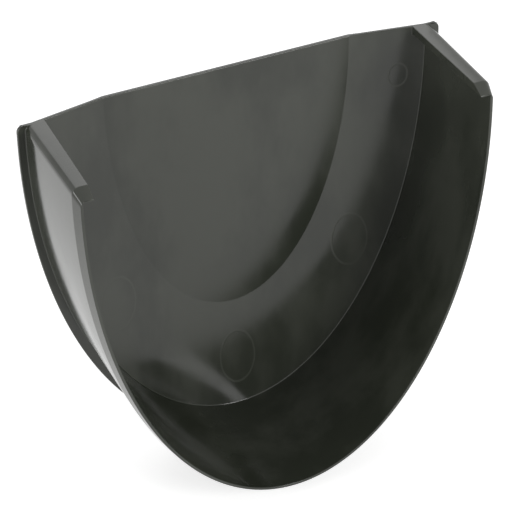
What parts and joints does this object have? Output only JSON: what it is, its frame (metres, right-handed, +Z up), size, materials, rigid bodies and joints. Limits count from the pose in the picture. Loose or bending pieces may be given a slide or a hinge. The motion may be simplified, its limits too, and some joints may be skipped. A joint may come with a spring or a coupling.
{
  "type": "gutter end cap",
  "caption": "Deep U-shaped gutter end cap: a dished end plate with an outstanding rim and a bevelled collar that slides into the end of the gutter.",
  "frame": {"origin": "middle of the top edge, on the face of the plate that the end of the gutter butts against", "axes": "+X across the gutter, +Y along the gutter out of its end, so the collar points to -Y, +Z up"},
  "size_m": [0.1298, 0.045, 0.1245],
  "materials": {
    "moulding": "satin anthracite moulded plastic"
  },
  "bodies": {
    "root": {"end_cap": "moulding"}
  },
  "joints": []
}
